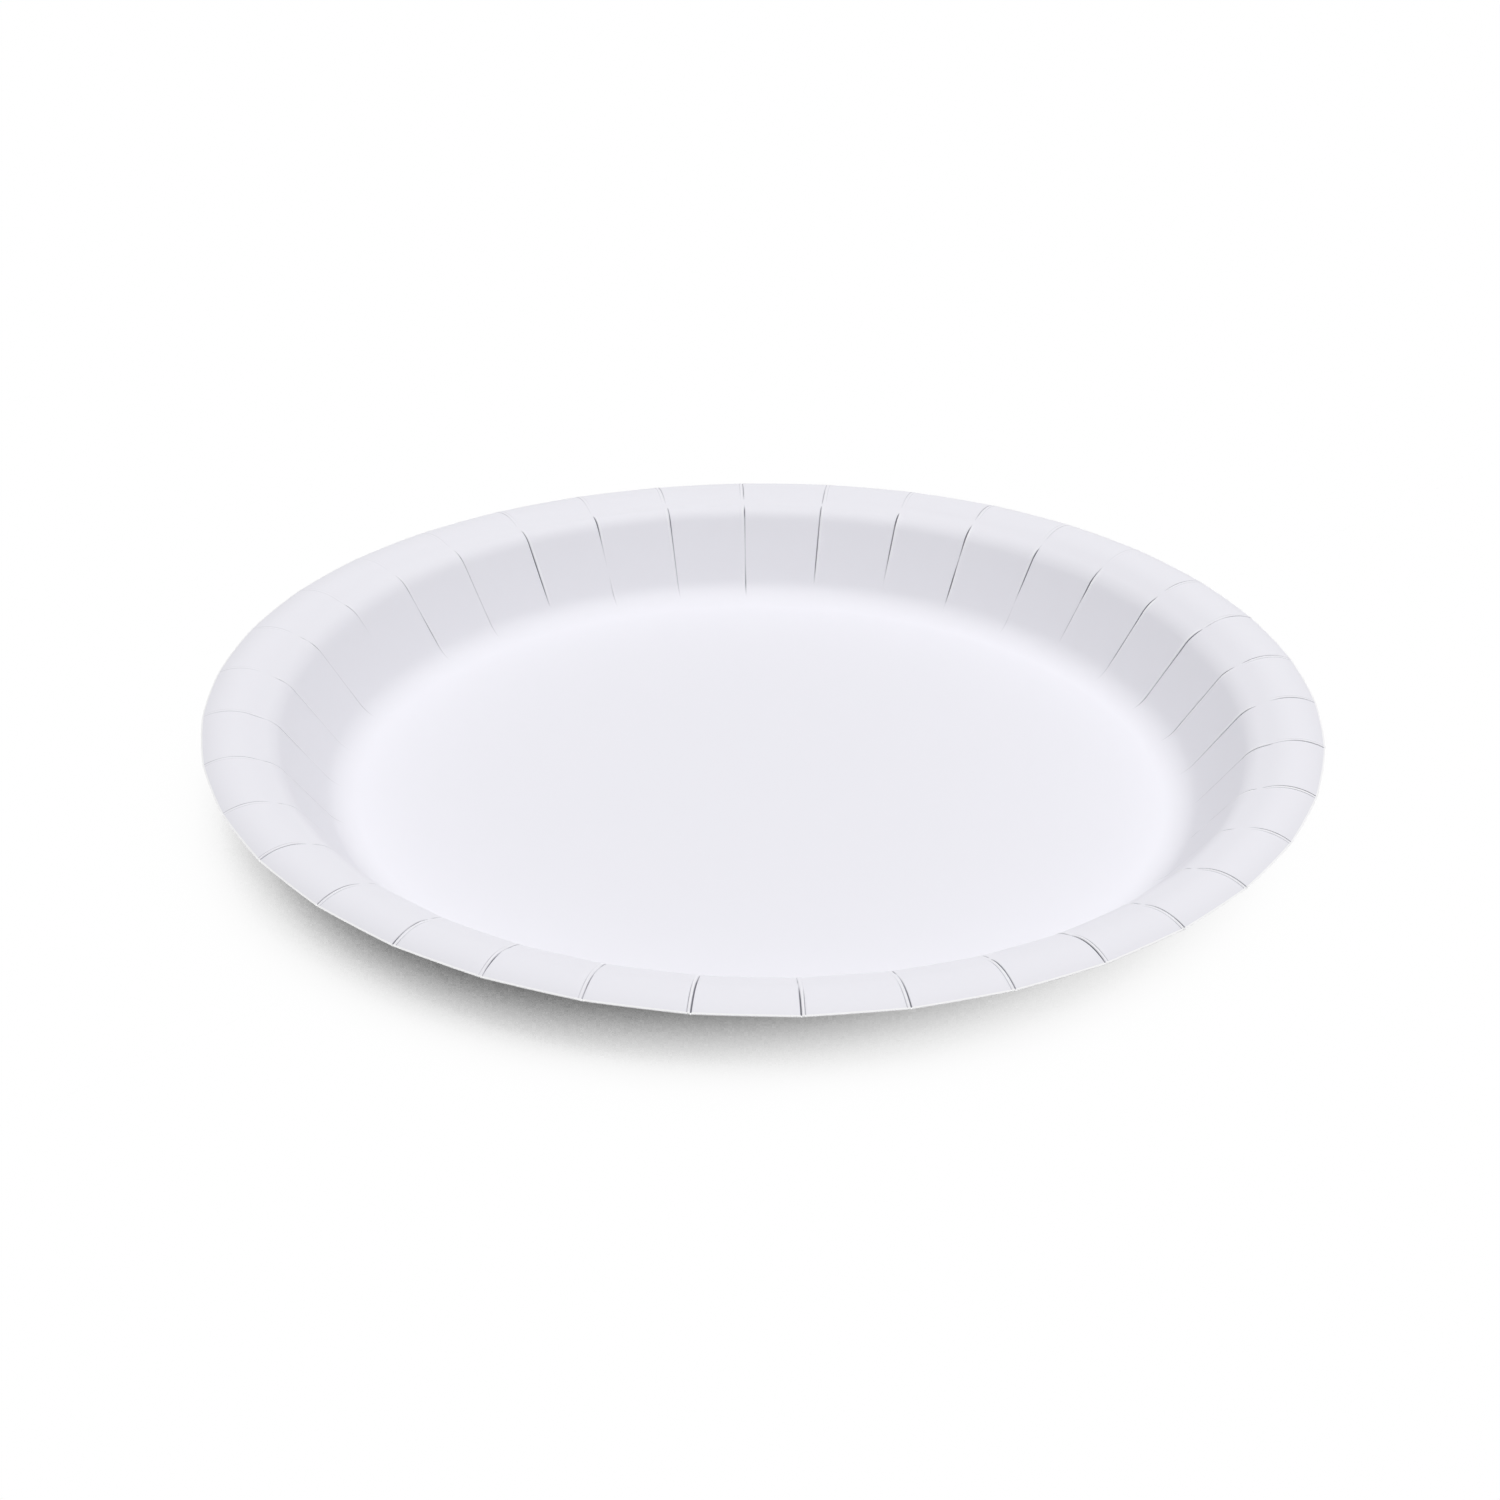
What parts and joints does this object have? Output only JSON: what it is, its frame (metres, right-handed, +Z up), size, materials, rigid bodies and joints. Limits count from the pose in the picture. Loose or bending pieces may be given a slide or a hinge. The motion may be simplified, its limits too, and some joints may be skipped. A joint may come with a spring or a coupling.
{
  "type": "paper plate",
  "caption": "Round pressed paperboard plate with a flat floor, a sloping wall, a creased brim and a turned-down lip.",
  "frame": {"origin": "middle of the underside of the floor, on the surface that the plate stands on", "axes": "+Z up the plate's axis, +X and +Y each through the middle of a panel of the brim"},
  "size_m": [0.2282, 0.2282, 0.0192],
  "materials": {
    "board": "smooth semi-matt white coating"
  },
  "bodies": {
    "root": {"plate": "board"}
  },
  "joints": []
}
